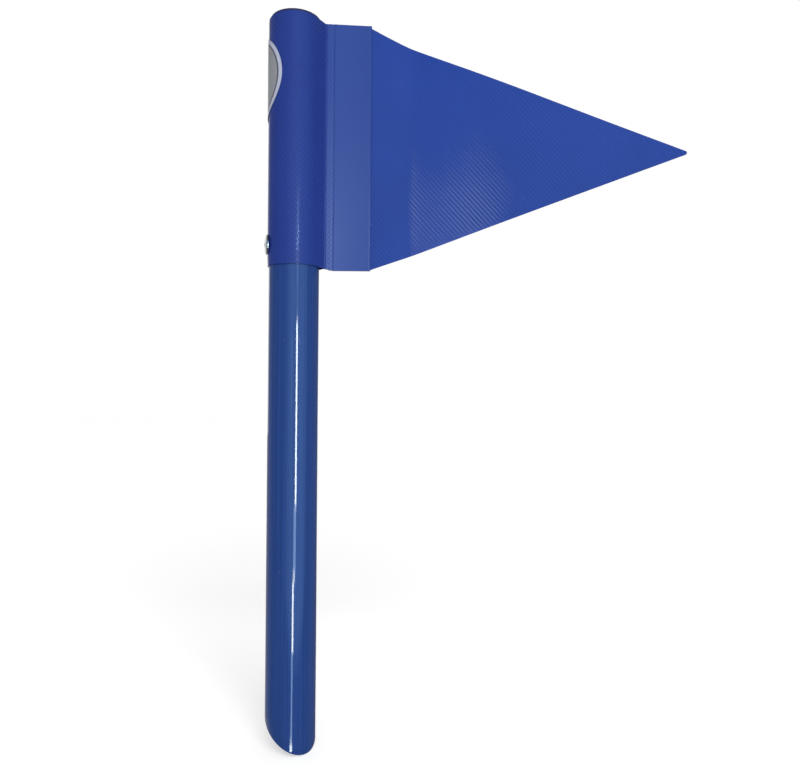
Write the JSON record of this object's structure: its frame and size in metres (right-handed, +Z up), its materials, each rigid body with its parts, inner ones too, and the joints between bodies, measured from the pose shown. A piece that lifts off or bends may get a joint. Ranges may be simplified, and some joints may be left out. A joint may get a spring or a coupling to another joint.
{
  "type": "marker flag",
  "caption": "Triangular coated-cloth marker flag in a wrapped sleeve, riveted to a hollow round plastic post with a slant-cut foot for pushing into the ground.",
  "frame": {"origin": "on the post's axis, level with the lowest point of its slant-cut foot", "axes": "+Z up along the post, +X from the post towards the pennant's tip, +Y behind the pennant"},
  "size_m": [0.2713, 0.0343, 0.4629],
  "materials": {
    "post_plastic": "glossy blue extruded tube",
    "plug_plastic": "satin dark blue moulding",
    "sleeve_cloth": "blue plastic-coated plain weave, smooth and matte where welded",
    "pennant_cloth": "blue plastic-coated plain weave with a low gloss",
    "label_film": "pale blank self-adhesive film",
    "rivet_aluminium": "bright",
    "mandrel_steel": "dull grey"
  },
  "bodies": {
    "root": {"post_tube": "post_plastic", "end_plug": "plug_plastic", "sleeve": "sleeve_cloth", "pennant": "pennant_cloth", "round_label": "label_film", "rivet_body": "rivet_aluminium", "rivet_mandrel": "mandrel_steel"}
  },
  "joints": []
}
